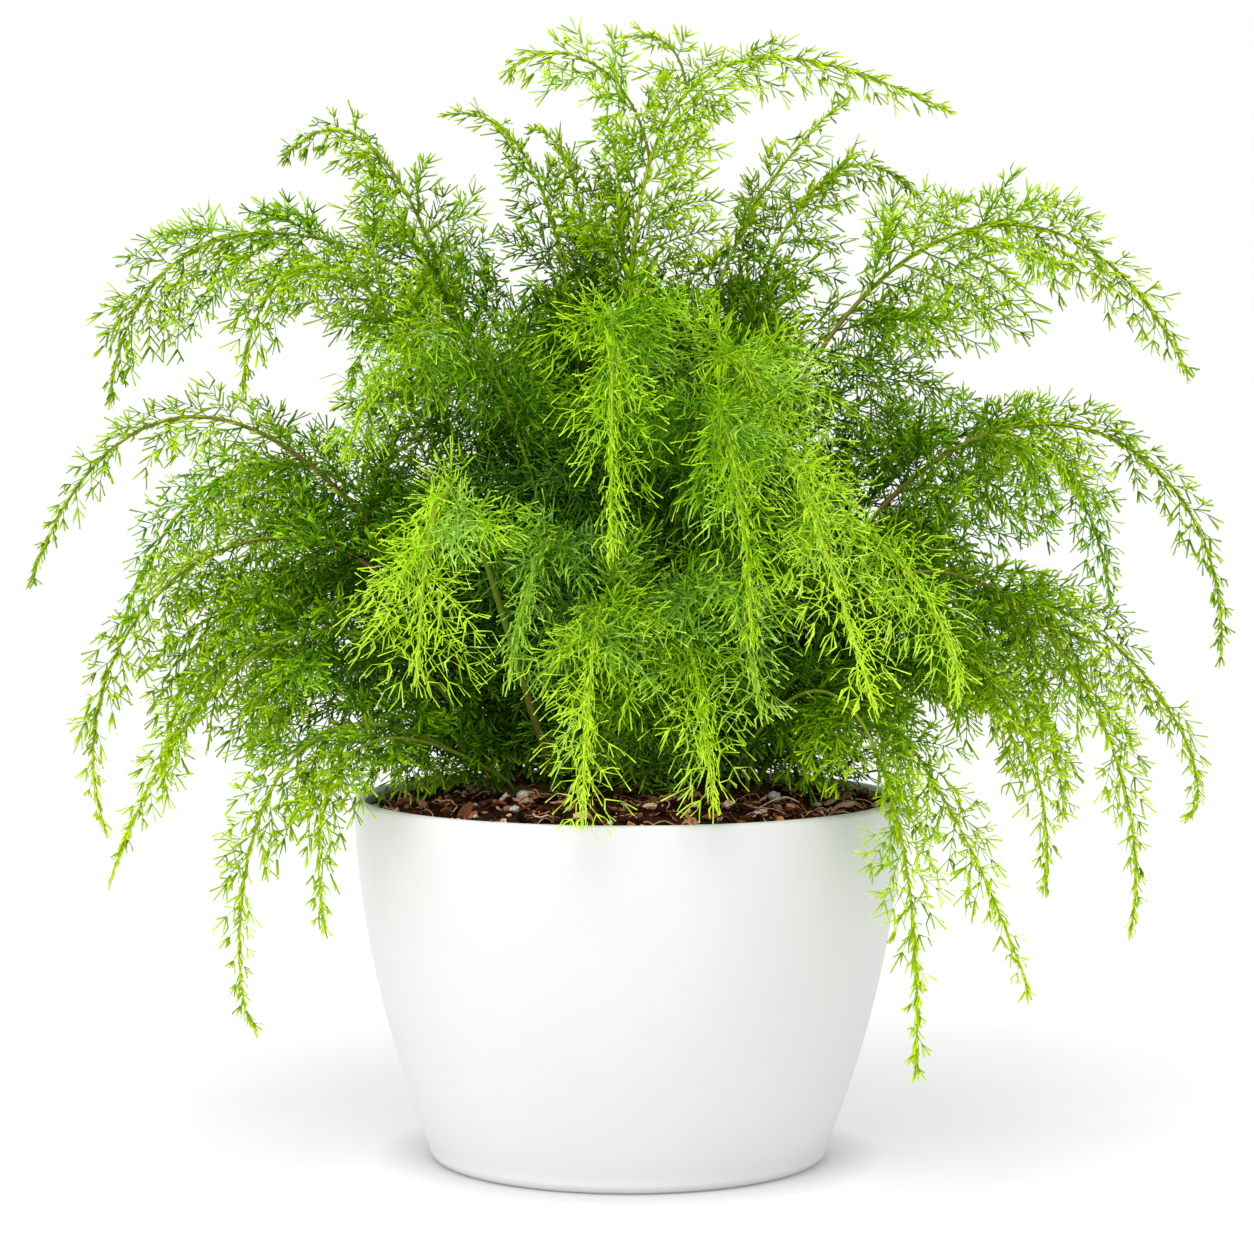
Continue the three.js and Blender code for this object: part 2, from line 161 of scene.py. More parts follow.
FRONDS = [
    frond("frond_left_1", (-22, 8), 140, (33, 268), (70, 328), (112, 296), 1.2,
          [fork(0.6, 186, (25, 272), (92, 292), (101, 222))], wood=0.9, tone=0.5, bare=0.2,
          slim=0.92, flat=0.4, reach=32),
    frond("frond_left_2", (-24, -2), 194, (33, 293), (86, 276), (88, 225), 1.0, taper=(0.58, 1.1)),
    frond("frond_left_3", (-31, 2), 177, (58, 239), (119, 241), (145, 168), 1.2, wood=0.85,
          slim=0.92, flat=0.35, tone=0.54),
    frond("frond_left_4", (-35, -1), 186, (42, 240), (139, 166), (117, 98), 1.1, wood=0.7,
          slim=0.85, flat=0.4, tone=0.54),
    frond("frond_left_5", (-37, -5), 200, (45, 199), (98, 140), (115, 87), 1.0, tone=0.48),
    frond("frond_left_6", (-36, -9), 212, (100, 183), (89, 30), (79, 49), 1.0, tone=0.47,
          bare=0.15, reach=23, taper=(0.72, 2.0), end=0.935),
    frond("frond_left_7", (-32, -13), 222, (76, 154), (75, 101), (70, 75), 0.8, tone=0.48,
          bare=0.2, reach=17, sprigs=[(0.1, 0.5, (-57, -20, 108.5))]),
    frond("frond_right_1", (24, 6), 18, (-2, 250), (101, 328), (154, 230), 1.2, bare=0.22,
          tone=0.56, wood=0.6, slim=0.95, flat=0.35),
    frond("frond_right_2", (31, 1), 2, (51, 265), (147, 221), (143, 147), 1.2, wood=0.7, slim=0.92,
          flat=0.35),
    frond("frond_right_3", (34, -3), 350, (43, 238), (124, 139), (112, 70), 1.1, wood=0.6),
    frond("frond_right_4", (37, 4), 12, (80, 234), (156, 104), (134, 96), 1.0, low=16),
    frond("frond_right_5", (37, -8), 336, (45, 190), (92, 146), (88, 84), 1.0, tone=0.48, low=18),
    frond("frond_right_6", (34, -13), 323, (19, 192), (75, 109), (95, 59), 1.1, tone=0.5,
          bare=0.12, reach=22, slim=0.62, wood=0, low=20),
    frond("frond_right_7", (28, -15), 311, (51, 184), (82, 107), (77, 37), 1.1, tone=0.5,
          bare=0.12, reach=17, slim=0.62, wood=0, low=20, sprigs=[(0.12, 0.6, (59, -28, 107)),
          (0.16, 0.5, (51, -31, 112))]),
    frond("frond_top_1", (4, 4), 20, (-2, 252), (-30, 361), (97, 308), 1.3,
          [fork(0.62, 180, (4, 318), (26, 330), (42, 316)),
          fork(0.7, 180, (1, 321), (5, 329), (17, 327))], tone=0.62, bare=0.08, reach=28, up=0.55),
    frond("frond_top_2", (13, 7), 50, (-2, 169), (-14, 259), (84, 314), 1.2, tone=0.54, bare=0.08,
          reach=26, up=0.4),
    frond("frond_top_3", (-9, 5), 165, (2, 230), (8, 310), (45, 305), 1.0, bare=0.08, skirt=8),
    frond("frond_top_4", (-5, 10), 125, (0, 230), (8, 300), (42, 303), 1.0, bare=0.08),
    frond("frond_top_5", (2, 12), 105, (2, 225), (10, 300), (38, 306), 1.0, bare=0.08, skirt=8),
    frond("frond_front_1", (20, -8), 298, (-2, 218), (-7, 312), (97, 140), 1.2, tone=0.94,
          bare=0.08, reach=29),
    frond("frond_front_2", (25, -8), 316, (8, 248), (94, 168), (90, 142), 1.0, tone=0.9, reach=29),
    frond("frond_front_3", (-20, -7), 240, (30, 145), (66, 262), (75, 145), 1.3, tone=0.96,
          bare=0.45, slim=1.0, wood=0.35, blunt=16, up=0.7),
    frond("frond_front_4", (-14, -4), 225, (10, 210), (50, 290), (89, 208), 1.0, tone=0.62,
          bare=0.08),
    frond("frond_front_5", (-5, -14), 243, (4, 185), (38, 215), (60, 146), 0.8, tone=0.82,
          cast=0.3),
    frond("frond_front_6", (9, -8), 283, (8, 215), (75, 270), (105, 159), 1.0, tone=0.6,
          bare=0.08),
    frond("frond_front_7", (-3, -6), 269, (5, 240), (60, 300), (95, 182), 1.1, tone=0.66,
          bare=0.08),
    frond("frond_front_8", (-1, -17), 261, (2, 190), (62, 185), (74, 101), 0.9, tone=0.92,
          end=0.965),
    frond("frond_front_9", (4, -18), 286, (3, 170), (54, 180), (70, 107), 0.8, tone=0.86,
          end=0.97),
    frond("frond_front_10", (9, -15), 293, (4, 178), (45, 195), (69, 137), 0.8, tone=0.82,
          cast=0.3),
    frond("frond_middle_1", (-15, 1), 205, (2, 190), (15, 255), (62, 222), 0.9, skirt=10),
    frond("frond_middle_2", (14, -1), 332, (2, 190), (20, 250), (60, 215), 0.9, skirt=10),
    frond("frond_back_1", (18, 12), 42, (0, 240), (50, 320), (95, 285), 1.1),
    frond("frond_back_2", (31, 9), 28, (40, 230), (120, 240), (135, 160), 1.1, cast=0.2, reach=44),
    frond("frond_back_3", (27, 14), 52, (30, 200), (100, 215), (125, 120), 1.0, skirt=8, reach=42),
    frond("frond_back_4", (13, 17), 68, (10, 250), (70, 290), (115, 215), 1.1),
    frond("frond_back_5", (9, 21), 82, (30, 180), (85, 200), (120, 105), 1.0, skirt=10),
    frond("frond_back_6", (0, 19), 98, (8, 240), (60, 290), (118, 200), 1.1),
    frond("frond_back_7", (-8, 20), 112, (25, 200), (90, 220), (125, 120), 1.0, skirt=10),
    frond("frond_back_8", (-15, 16), 127, (8, 250), (75, 300), (125, 225), 1.1, cast=0.24),
    frond("frond_back_9", (-24, 15), 140, (30, 190), (95, 210), (125, 110), 1.0, skirt=8),
    frond("frond_back_10", (-31, 9), 156, (35, 220), (110, 230), (138, 150), 1.1, cast=0.24),
    frond("frond_back_11", (-37, 6), 168, (60, 170), (95, 190), (105, 105), 1.0, skirt=8),
    frond("frond_back_12", (38, 9), 24, (50, 170), (92, 185), (105, 95), 1.0, skirt=8, reach=44),
]


# Numbers

def unit(vectors):
    """The same directions at length one."""
    return vectors / np.maximum(np.linalg.norm(vectors, axis=-1, keepdims=True), 1e-9)


def lerp(a, b, share):
    return a + (b - a) * share


def pot_radius(z):
    return RIM_RADIUS - FLARE * (1 - z / POT_HEIGHT) ** FLARE_POWER


def mix_height(distance):
    return MIX_EDGE_HEIGHT + MIX_MOUND * (1 - (distance / RIM_RADIUS) ** 2)


def numbered(counts):
    """For counts of members, the place in counts that each belongs to and its number there."""
    which = np.repeat(np.arange(len(counts)), counts)
    return which, np.arange(len(which)) - np.repeat(np.cumsum(counts) - counts, counts)


def is_blocked(points, low=CLEARANCE):
    """Which points are in the planter's wall, in the mix, or within low above its front half."""
    distance = np.hypot(points[..., 0], points[..., 1])
    height = points[..., 2]
    wall = pot_radius(np.clip(height, 0, POT_HEIGHT))
    from_wall = np.abs(distance - wall + WALL / 2)
    in_wall = (height < POT_HEIGHT + CLEARANCE) & (from_wall < WALL / 2 + CLEARANCE)
    spare = np.where(points[..., 1] < 0, low, CLEARANCE)
    return in_wall | ((distance < wall) & (height < mix_height(distance) + spare))


# Meshes

def new_object(name, verts, faces, smooth=True):
    """An object from points in millimetres and triangles or quads, all of one kind."""
    mesh = bpy.data.meshes.new(name)
    verts = np.asarray(verts, float) * MM
    faces = np.asarray(faces, np.int32)
    corners = faces.shape[1]
    mesh.vertices.add(len(verts))
    mesh.vertices.foreach_set("co", verts.ravel())
    mesh.loops.add(faces.size)
    mesh.loops.foreach_set("vertex_index", faces.ravel())
    mesh.polygons.add(len(faces))
    mesh.polygons.foreach_set("loop_start", np.arange(0, faces.size, corners, dtype=np.int32))
    mesh.polygons.foreach_set("use_smooth", np.broadcast_to(smooth, len(faces)))
    mesh.update(calc_edges=True)
    mesh.validate()
    obj = bpy.data.objects.new(name, mesh)
    bpy.context.collection.objects.link(obj)
    return obj


def add_values(obj, **values):
    """One number for each point of a mesh, under each name, for its material to read."""
    for name, numbers in values.items():
        layer = obj.data.attributes.new(name, "FLOAT", "POINT")
        layer.data.foreach_set("value", np.asarray(numbers, np.float32))


def add_bake_map(obj, tone, cast):
    """Lays each triangle where its own two values are, so that one small picture colours all."""
    uv = obj.data.uv_layers.new(name="OFBake")
    corner = np.empty(len(obj.data.loops), np.int32)
    obj.data.loops.foreach_get("vertex_index", corner)
    spread = 0.004
    place = np.stack([tone[corner], cast[corner]], 1)
    place[0::3, 0] += spread
    place[1::3, 1] += spread
    uv.data.foreach_set("uv", place.astype(np.float32).ravel())


def ring_angles(segments):
    return np.arange(segments) * TURN / segments


def ring_faces(rows, segments):
    """Triangles from a first point, up over rows of points in rings, to a last point."""
    here = np.arange(segments)
    after = (here + 1) % segments
    faces = [np.stack([np.zeros_like(here), 1 + after, 1 + here], 1)]
    for row in range(rows - 1):
        low, high = 1 + row * segments, 1 + (row + 1) * segments
        faces.append(np.stack([low + here, low + after, high + after], 1))
        faces.append(np.stack([low + here, high + after, high + here], 1))
    last = 1 + (rows - 1) * segments
    faces.append(np.stack([last + here, last + after, np.full_like(here, last + segments)], 1))
    return np.concatenate(faces)


def lathe(profile, segments):
    """A closed turned mesh from a profile that starts and ends on the axis."""
    profile = np.asarray(profile, float)
    inner = profile[1:-1]
    angles = ring_angles(segments)
    rings = np.stack([
        inner[:, :1] * np.cos(angles),
        inner[:, :1] * np.sin(angles),
        np.repeat(inner[:, 1:], segments, 1),
    ], -1)
    verts = np.concatenate([[[0, 0, profile[0, 1]]], rings.reshape(-1, 3),
                            [[0, 0, profile[-1, 1]]]])
    return verts, ring_faces(len(inner), segments)


def blade_frame(foot, tip):
    """Two directions for each blade, square to it and to each other."""
    way = unit(tip - foot)
    across = unit(np.cross(way, SLANT))
    return across, np.cross(way, across)


def dress(piece, finish, node=None):
    """Gives a piece its material and its body, and hides the solid it stands for."""
    piece.data.materials.append(finish)
    if node:
        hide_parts(node)
    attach(piece, "root")


class Growth:
    """Collects the points, triangles and colour values of one piece."""

    def __init__(self):
        self.verts, self.faces, self.tone, self.cast, self.smooth = [], [], [], [], []
        self.count = 0

    def add(self, verts, faces, tone, cast, smooth=True):
        self.verts.append(verts)
        self.faces.append(faces + self.count)
        self.smooth.append(np.full(len(faces), smooth))
        self.tone.append(np.broadcast_to(tone, len(verts)))
        self.cast.append(np.broadcast_to(cast, len(verts)))
        self.count += len(verts)

    def tubes(self, lines, radii, sides, tone, cast):
        """Round tubes along lines (n, k, 3), closed by a cap at the foot and a point at the tip."""
        n, k = lines.shape[:2]
        along = unit(np.gradient(lines, axis=1))
        chord = unit(lines[:, -1] - lines[:, 0])
        aside = np.where(np.abs(chord[:, 2:]) > 0.8, [[1.0, 0.0, 0.0]], [[0.0, 0.0, 1.0]])
        first = unit(np.cross(along, aside[:, None]))
        second = np.cross(along, first)
        angles = ring_angles(sides)
        ring = (first[:, :, None] * np.cos(angles)[None, None, :, None]
                + second[:, :, None] * np.sin(angles)[None, None, :, None])
        verts = lines[:, :, None] + ring * radii[:, :, None, None]
        tips = lines[:, -1] + along[:, -1] * radii[:, -1:] * 1.5
        verts = np.concatenate([verts.reshape(n, k * sides, 3), tips[:, None]], 1)
        here = np.arange(sides)
        after = (here + 1) % sides
        one = [np.stack([np.zeros(sides - 2, int), here[2:], here[1:-1]], 1)]
        for row in range(k - 1):
            low, high = row * sides, (row + 1) * sides
            one.append(np.stack([low + here, low + after, high + after], 1))
            one.append(np.stack([low + here, high + after, high + here], 1))
        top = (k - 1) * sides
        one.append(np.stack([top + here, top + after, np.full(sides, k * sides)], 1))
        one = np.concatenate(one)
        faces = one[None] + (np.arange(n) * (k * sides + 1))[:, None, None]
        tone = np.repeat(np.broadcast_to(tone, (n, k)), sides, 1)
        tone = np.concatenate([tone, tone[:, -1:]], 1)
        cast = np.repeat(np.broadcast_to(cast, (n, k)), sides, 1)
        cast = np.concatenate([cast, cast[:, -1:]], 1)
        self.add(verts.reshape(-1, 3), faces.reshape(-1, 3), tone.ravel(), cast.ravel())

    def blades(self, corners, pattern, lift, tone, cast):
        """Many small closed meshes of one pattern, each with its own corners, tone and cast."""
        size = len(corners)
        verts = np.stack(corners, 1).reshape(-1, 3)
        faces = pattern + (np.arange(len(tone)) * size)[:, None, None]
        # The lift raises or lowers the tone at each corner: the struts use it for painted shade at
        # a blade's foot and a painted highlight at its tip
        tone = np.clip(tone[:, None] + np.array(lift), *TONES).ravel()
        self.add(verts, faces.reshape(-1, 3), tone, np.repeat(cast, size), smooth=False)

    def struts(self, foot, tip, width, tone, cast, painted_tip_highlight=0.15):
        """Straight blades: an edge across the foot, and one square to it at the tip."""
        across, over = blade_frame(foot, tip)
        half = (width / 2)[:, None]
        corners = [foot - across * half, foot + across * half,
                   tip - over * half * 0.62, tip + over * half * 0.62]
        # Painted shade at the two foot corners and a painted highlight at the two tip corners
        self.blades(corners, BLADE, (-0.08, -0.08, painted_tip_highlight, painted_tip_highlight), tone, cast)

    def bent_struts(self, foot, middle, tip, width, tone, cast):
        """Bowed blades: two lengths that meet in an edge at the middle."""
        across, over = blade_frame(foot, tip)
        half = (width / 2)[:, None]
        corners = [foot - over * half * 0.7, foot + over * half * 0.7,
                   middle - across * half, middle + across * half,
                   tip - over * half * 0.55, tip + over * half * 0.55]
        # Painted shade at the foot corners and a painted highlight at the tip corners; the middle
        # keeps its tone
        self.blades(corners, BOWED_BLADE, (-0.15, -0.15, 0, 0, 0.18, 0.18), tone, cast)

    def finish(self, name):
        """The object, with the values of its points and their map."""
        obj = new_object(name, np.concatenate(self.verts), np.concatenate(self.faces),
                         np.concatenate(self.smooth))
        tone = np.concatenate(self.tone).astype(np.float32)
        cast = np.concatenate(self.cast).astype(np.float32)
        add_values(obj, tone=tone, cast=cast)
        add_bake_map(obj, tone, cast)
        return obj


# Stems

class Stem:
    """A frond's own stem or a fork, sampled evenly along its length."""

    CURVE_POINTS = 200
    EVEN_POINTS = 160

    def __init__(self, start, shape, foot_radius, tip_radius, end=1.0):
        angle = math.radians(shape["azimuth"])
        out = np.array([math.cos(angle), math.sin(angle), 0.0])
        self.across = np.array([-math.sin(angle), math.cos(angle), 0.0])
        handles = [start]
        for reach, height in (shape["rise"], shape["arch"], shape["tip"]):
            place = start + out * reach
            handles.append(np.array([place[0], place[1], height]))
        t = np.linspace(0, end, self.CURVE_POINTS)[:, None]
        p0, p1, p2, p3 = handles
        line = ((1 - t) ** 3 * p0 + 3 * (1 - t) ** 2 * t * p1
                + 3 * (1 - t) * t ** 2 * p2 + t ** 3 * p3)
        steps = np.linalg.norm(np.diff(line, axis=0), axis=1)
        along = np.concatenate([[0], np.cumsum(steps)])
        self.length = along[-1]
        self.marks = np.linspace(0, self.length, self.EVEN_POINTS)
        self.line = np.stack([np.interp(self.marks, along, line[:, i]) for i in range(3)], 1)
        self.ways = unit(np.gradient(self.line, axis=0))
        self.foot_radius, self.tip_radius = foot_radius, tip_radius

    def between(self, values, s):
        return np.stack([np.interp(s, self.marks, values[:, i]) for i in range(3)], -1)

    def at(self, s):
        return self.between(self.line, s)

    def way(self, s):
        return unit(self.between(self.ways, s))

    def radius(self, s):
        return lerp(self.foot_radius, self.tip_radius, np.asarray(s) / self.length)


class Twigs:
    """Many side shoots at once, each a straight way with a fall that grows with its length."""

    TRIM_STEPS = 24

    def __init__(self, foot, way, fall, length, over, tone, cast):
        self.foot, self.way, self.fall = foot, unit(way), fall
        self.length, self.over, self.tone, self.cast = length, over, tone, cast

    def at(self, which, s):
        s = s[..., None]
        return self.foot[which] + self.way[which] * s + self.fall[which] * s ** 2

    def heading(self, which, s):
        return unit(self.way[which] + 2 * self.fall[which] * s[..., None])

    def trimmed(self, low=CLEARANCE):
        """The same twigs cut where they would meet the planter or the mix."""
        blocked = is_blocked(self.lines(self.TRIM_STEPS), low)
        free = np.where(blocked.any(1), blocked.argmax(1), self.TRIM_STEPS) / self.TRIM_STEPS
        keep = free * self.length > LEAST_TWIG
        return Twigs(self.foot[keep], self.way[keep], self.fall[keep], (self.length * free)[keep],
                     self.over[keep], self.tone[keep], self.cast[keep])

    def lines(self, count):
        """Points spread evenly along each twig."""
        s = self.length[:, None] * np.linspace(0, 1, count)[None]
        which = np.arange(len(self.length))[:, None]
        return self.at(which, s)


def shoots_of(stem, look, rng):
    """Side shoots in a spiral round a stem, longest in its middle and very short at its tip."""
    last_place = stem.length - 1.2
    bare = look["bare"] * stem.length
    places = []
    s = bare
    while s < last_place:
        share = (s - bare) / (stem.length - bare)
        places.append((s, share))
        s += lerp(look["gap"], 3.2, share) * rng.uniform(0.8, 1.2)
    s, share = np.array(places).T
    n = len(s)
    along = stem.way(s)
    over = unit(np.cross(along, stem.across))
    spin = np.arange(n) * math.pi * 0.93 + rng.normal(0, 0.5, n) + rng.uniform(0, TURN)
    aside = stem.across * np.cos(spin)[:, None] + over * np.sin(spin)[:, None]
    aside *= (1.0, look["flat"], 1.0)
    aside = unit(aside - along * (aside * along).sum(1, keepdims=True))
    sweep = np.radians(lerp(66, look["sweep"], share) + rng.uniform(-9, 9, n))
    way = along * np.cos(sweep)[:, None] + aside * np.sin(sweep)[:, None]
    longest = min(look["reach"], 0.2 * stem.length + 4)
    from_foot = np.clip(0.6 + share / 0.2 * 0.4, 0, 1)
    span, power = look["taper"]
    to_tip = longest * np.clip((1 - share) / span, 0, 1) ** power
    blunt = look["blunt"] * np.clip((1 - share) / 0.28, 0, 1) ** 0.7
    upward = np.clip(aside[:, 2], 0, 1)
    length = np.maximum(to_tip, blunt) * from_foot * (1 - look["up"] * upward)
    length += lerp(3.0, 1.4, share)
    length *= rng.uniform(0.7, 1.25, n)
    fall = -UP * (rng.uniform(0.1, 0.34, n) / np.maximum(length, 6))[:, None]
    tone = look["lift"] * (share - 0.5) - 0.01 + rng.normal(0, 0.05, n)
    cast = rng.random(n) ** 4 * 0.24 * look["mixed"] - look["ripe"] * share ** 1.5
    twigs = Twigs(stem.at(s), way, fall, length, unit(np.cross(along, way)), tone, cast)
    return twigs.trimmed(look["low"])


def skirt_of(stem, look, rng):
    """Young shoots that spread low round a stem's foot."""
    n = look["skirt"]
    s = rng.uniform(1, 16, n)
    angle = rng.uniform(0, TURN, n)
    rise = np.radians(rng.uniform(8, 60, n))
    way = np.stack([np.cos(angle) * np.cos(rise), np.sin(angle) * np.cos(rise), np.sin(rise)], 1)
    length = rng.uniform(16, 40, n)
    fall = -UP * (rng.uniform(0.1, 0.4, n) / length)[:, None]
    over = unit(np.cross(way, stem.way(s)))
    tone, cast = rng.normal(-0.02, 0.06, n), rng.random(n) * 0.3
    return Twigs(stem.at(s), way, fall, length, over, tone, cast).trimmed()


def sprigs_of(stem, look, rng):
    """Single shoots to chosen places, each given as share of the stem, lift and end."""
    share, lift, end = (np.array(part, float) for part in zip(*look["sprigs"]))
    foot = stem.at(share * stem.length)
    span = end - foot
    reach = np.linalg.norm(span, axis=1)
    way = unit(span + UP * (lift * reach)[:, None])
    length = 1.1 * reach
    fall = (span - way * length[:, None]) / length[:, None] ** 2
    n = len(share)
    over = unit(np.cross(way, stem.way(share * stem.length)))
    tone = rng.normal(0.12, 0.04, n)
    return Twigs(foot, way, fall, length, over, tone, np.zeros(n)).trimmed()


def branchlets_of(twigs, look, rng):
    """Finer twigs on both sides of each shoot, in its own plane for the most part."""
    spare = twigs.length - FIRST_BRANCHLET - look["fine"]
    counts = np.where(spare > 0, np.maximum((spare / BRANCHLET_GAP + 1).astype(int), 0), 0)
    which, order = numbered(counts)
    n = len(which)
    s = FIRST_BRANCHLET + BRANCHLET_GAP * (order + rng.uniform(-0.25, 0.25, n))
    left = twigs.length[which] - s
    along = twigs.heading(which, s)
    aside = unit(np.cross(twigs.over[which], along))
    over = np.cross(along, aside)
    side = np.where(order % 2 == 0, 1.0, -1.0)
    lift = np.radians(rng.uniform(-60, 60, n))
    sweep = np.radians(rng.uniform(38, 62, n))
    out = aside * (side * np.cos(lift))[:, None] + over * np.sin(lift)[:, None]
    way = along * np.cos(sweep)[:, None] + out * np.sin(sweep)[:, None]
    length = np.clip(0.27 * left + 1.8, 2.0, 9.0) * rng.uniform(0.75, 1.25, n)
    fall = -UP * (rng.uniform(0.0, 0.1, n) / np.maximum(length, 3))[:, None]
    tone = twigs.tone[which] + 0.2 * s / np.maximum(twigs.length[which], 8)
    return Twigs(twigs.at(which, s), way, fall, length, over, tone, twigs.cast[which]).trimmed()


def cast_of(look, own):
    """The cast of leaves and green twigs, kept clear of the stems' colours."""
    return np.clip(look["cast"] + own, *LEAF_CASTS)


def needles_on(growth, twigs, look, rng, first):
    """Needles in whorls along the twigs, like a comb or a brush, and a tuft at each tip."""
    counts = np.maximum(((twigs.length - first) / look["node"]).astype(int), 0) + 1
    which, order = numbered(counts)
    last = order == counts[which] - 1
    whole = twigs.length[which]
    s = np.where(last, whole, np.minimum(first + look["node"] * order, whole))
    base = rng.normal(0, 0.7, len(s))
    whorl, member = numbered(np.where(last, TIP_NEEDLES, look["whorl"]))
    which, s, last, base = (values[whorl] for values in (which, s, last, base))
    n = len(which)
    along = twigs.heading(which, s)
    aside = unit(np.cross(twigs.over[which], along))
    over = np.cross(along, aside)
    spin = base + TURN / look["whorl"] * member + rng.normal(0, 0.3, n)
    out = aside * np.cos(spin)[:, None] + over * np.sin(spin)[:, None]
    tip_sweep = np.where(member == 2, rng.uniform(0, 9, n), rng.uniform(20, 44, n))
    sweep = np.radians(np.where(last, tip_sweep, rng.uniform(*look["needle_sweep"], n)))
    way = unit(along * np.cos(sweep)[:, None] + out * np.sin(sweep)[:, None] - UP * 0.05)
    small = np.clip(twigs.length[which] / 5, 0.6, 1.0) * np.where(last, 1.1, 1.0)
    length = look["needle"] * small * rng.uniform(0.65, 1.25, n)
    foot = twigs.at(which, s)
    free = ~is_blocked(foot + way * length[:, None])
    foot, way, out, length, which = (values[free] for values in (foot, way, out, length, which))
    n = len(which)
    tone = twigs.tone[which] + look["tone"] + rng.normal(0, 0.09, n) + shade_of(foot)
    cast = cast_of(look, twigs.cast[which] + (rng.random(n) < 0.1) * 0.2 * look["mixed"])
    width = look["width"] * rng.uniform(0.85, 1.15, n)
    tip = foot + way * length[:, None]
    bent = rng.random(n) < look["bent"]
    bow = length * rng.uniform(0.1, 0.3, n)
    middle = (foot + tip) / 2
    middle += unit(out - way * (out * way).sum(1, keepdims=True)) * bow[:, None]
    growth.bent_struts(*(part[bent] for part in (foot, middle, tip, width, tone, cast)))
    growth.struts(*(part[~bent] for part in (foot, tip, width, tone, cast)))


def own_needles(growth, stem, look, rng):
    """Needles straight on a stem, past the first two fifths of its leafy part."""
    bare = look["bare"] * stem.length
    s = np.arange(bare + 0.4 * (stem.length - bare), stem.length, OWN_NEEDLE_GAP)
    if not len(s):
        return
    share = (s - bare) / (stem.length - bare)
    way = stem.way(s)
    stubs = Twigs(stem.at(s), way, np.zeros((len(s), 3)), np.full(len(s), 0.6),
                  unit(np.cross(way, stem.across)), look["lift"] * (share - 0.5),
                  -look["ripe"] * share ** 1.5)
    needles_on(growth, stubs, look, rng, 0.5)


def shade_of(points):
    """Foliage deep in the plant is darker than what reaches the light, but less so low down."""
    middle = np.array([0, 10, 150.0])
    reach = np.array([150, 120, 165.0])
    depth = np.linalg.norm((points - middle) / reach, axis=-1)
    low = np.clip((150 - points[..., 2]) / 40, 0, 1)
    return np.clip(0.75 * (depth - 0.85), -0.32, 0.06) + 0.18 * low


def stem_tube(growth, stem, look):
    """The stem itself, with faint knuckles, woody at its foot if the look says so."""
    count = max(8, int(stem.length / 4))
    s = np.linspace(0, stem.length, count)
    share = s / stem.length
    line = stem.at(s)
    if line[0, 2] < CROWN_TOP + 5:
        line[0, 2] -= STEM_FOOT_DEPTH
    knuckle = 1 + 0.06 * np.sin(s * 0.9) * (share < 0.7)
    foot_tone = 0.66 - 0.6 * look["wood"]
    tip_tone = 0.6 + 0.3 * look["tone"]
    tone = np.clip(lerp(foot_tone, tip_tone, share ** lerp(0.8, 1.5, look["wood"])), *TONES)
    cast = np.where(share > 0.85, TIP_CAST, STEM_CAST)
    radii = stem.radius(s) * knuckle
    growth.tubes(line[None], radii[None], STEM_SIDES, tone[None], cast[None])


def twig_tubes(growth, twigs, look):
    """Side shoots as thin three-sided tubes."""
    lines = twigs.lines(TWIG_POINTS)
    share = np.linspace(0, 1, TWIG_POINTS)[None]
    size = np.clip(twigs.length / 30, 0.5, 1)[:, None]
    tone = twigs.tone[:, None] + look["tone"] * 0.85 + 0.08 + shade_of(lines)
    growth.tubes(lines, lerp(*TWIG_RADII, share) * size, TWIG_SIDES, np.clip(tone, *TONES),
                 cast_of(look, twigs.cast)[:, None])


def branchlet_struts(growth, twigs, look):
    """Branchlets as straight blades."""
    which = np.arange(len(twigs.length))
    tip = twigs.at(which, twigs.length)
    tone = twigs.tone + look["tone"] * 0.9 + shade_of(twigs.foot)
    width = np.full(len(which), TWIG_WIDTH)
    # Painted shade at each branchlet's foot and a weaker painted highlight at its tip
    growth.struts(twigs.foot, tip, width, tone, cast_of(look, twigs.cast), painted_tip_highlight=0.05)


def grow(look, seed):
    """The stems, shoots, branchlets and needles of one frond."""
    rng = np.random.default_rng(seed)
    growth = Growth()
    thick = look["thick"] * look["slim"]
    start = np.array([*look["foot"], CROWN_TOP + 0.5], float)
    tip_radius = thick * look["tip_width"]
    main = Stem(start, look, thick, tip_radius, look["end"])
    stems = [(main, look)]
    for side in look["forks"]:
        s = side["at"] * main.length
        stem = Stem(main.at(s), side, main.radius(s) * 0.9, tip_radius)
        stems.append((stem, {**look, "bare": 0.06, "wood": 0.3, "skirt": 0, "sprigs": ()}))
    for stem, its_look in stems:
        stem_tube(growth, stem, its_look)
        groups = [shoots_of(stem, its_look, rng)]
        if its_look["skirt"]:
            groups.append(skirt_of(stem, its_look, rng))
        if its_look["sprigs"]:
            groups.append(sprigs_of(stem, its_look, rng))
        for shoots in groups:
            branchlets = branchlets_of(shoots, its_look, rng)
            twig_tubes(growth, shoots, its_look)
            branchlet_struts(growth, branchlets, its_look)
            needles_on(growth, shoots, its_look, rng, 2.0)
            needles_on(growth, branchlets, its_look, rng, 1.3)
        own_needles(growth, stem, its_look, rng)
    return growth


# Materials

def set_inputs(node, **values):
    """Sets inputs of a node. An underscore stands for a space in an input's name."""
    for name, value in values.items():
        node.inputs[name.replace("_", " ")].default_value = value


def material(name, **inputs):
    """A new material, its nodes, and its shader with some inputs set."""
    made = bpy.data.materials.new(name)
    made.use_nodes = True
    shader = made.node_tree.nodes["Principled BSDF"]
    set_inputs(shader, **inputs)
    return made, made.node_tree, shader


def point_value(tree, name):
    node = tree.nodes.new("ShaderNodeAttribute")
    node.attribute_name = name
    return node.outputs["Fac"]


